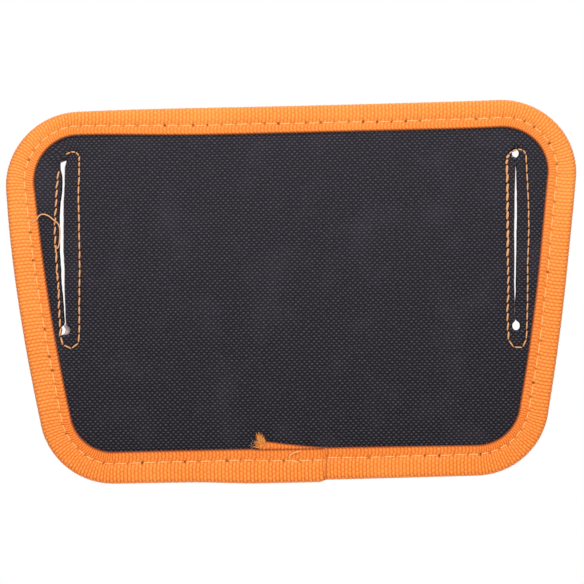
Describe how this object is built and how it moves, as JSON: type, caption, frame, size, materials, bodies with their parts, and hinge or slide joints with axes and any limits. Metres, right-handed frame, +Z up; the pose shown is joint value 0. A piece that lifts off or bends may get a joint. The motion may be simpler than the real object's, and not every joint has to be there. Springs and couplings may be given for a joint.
{
  "type": "electrician tool pouch",
  "caption": "Bound belt-slot panel with a gusseted tool pocket, a two-cell accessory pocket, webbing tool loops and a snap strap.",
  "frame": {"origin": "midway between the two belt slots, on the rear cloth's outer face", "axes": "+X across the panel to the right as seen from behind, +Y from the rear face towards the pockets, +Z up"},
  "size_m": [0.2096, 0.0473, 0.1389],
  "materials": {
    "black_cloth": "matt",
    "foam": "matt",
    "orange_tape": "matt",
    "peach_thread": "matt",
    "black_webbing": "matt",
    "snap_metal": "satin nickel"
  },
  "bodies": {
    "pouch": {"rear_cloth": "black_cloth", "foam_core": "foam", "front_cloth": "black_cloth", "edge_binding": "orange_tape", "binding_lap": "orange_tape", "edge_stitches_rear": "peach_thread", "edge_stitches_front": "peach_thread", "left_slot_stitches": "peach_thread", "right_slot_stitches": "peach_thread", "gusset": "black_cloth", "gusset_stitches": "peach_thread", "tool_pocket_wall": "black_cloth", "tool_pocket_divider": "black_cloth", "tool_pocket_mouth_binding": "orange_tape", "accessory_pocket": "black_cloth", "accessory_mouth_binding": "orange_tape", "divider_stitches": "peach_thread", "seam_binding": "orange_tape", "seam_stitches": "peach_thread", "loop_webbing": "black_webbing", "loop_bar_stitches": "peach_thread", "bartacks": "peach_thread", "strap_root": "black_webbing", "strap_root_stitches": "peach_thread", "snap_stud": "snap_metal"},
    "strap": {"snap_strap": "black_webbing", "snap_socket": "snap_metal", "snap_cap": "snap_metal"}
  },
  "joints": [
    {"name": "strap_bend", "type": "hinge", "parent": "pouch", "child": "strap", "pos_m": [0, 0.00594, 0.027], "axis": [1, 0, 0], "range_deg": [0, 95]}
  ]
}
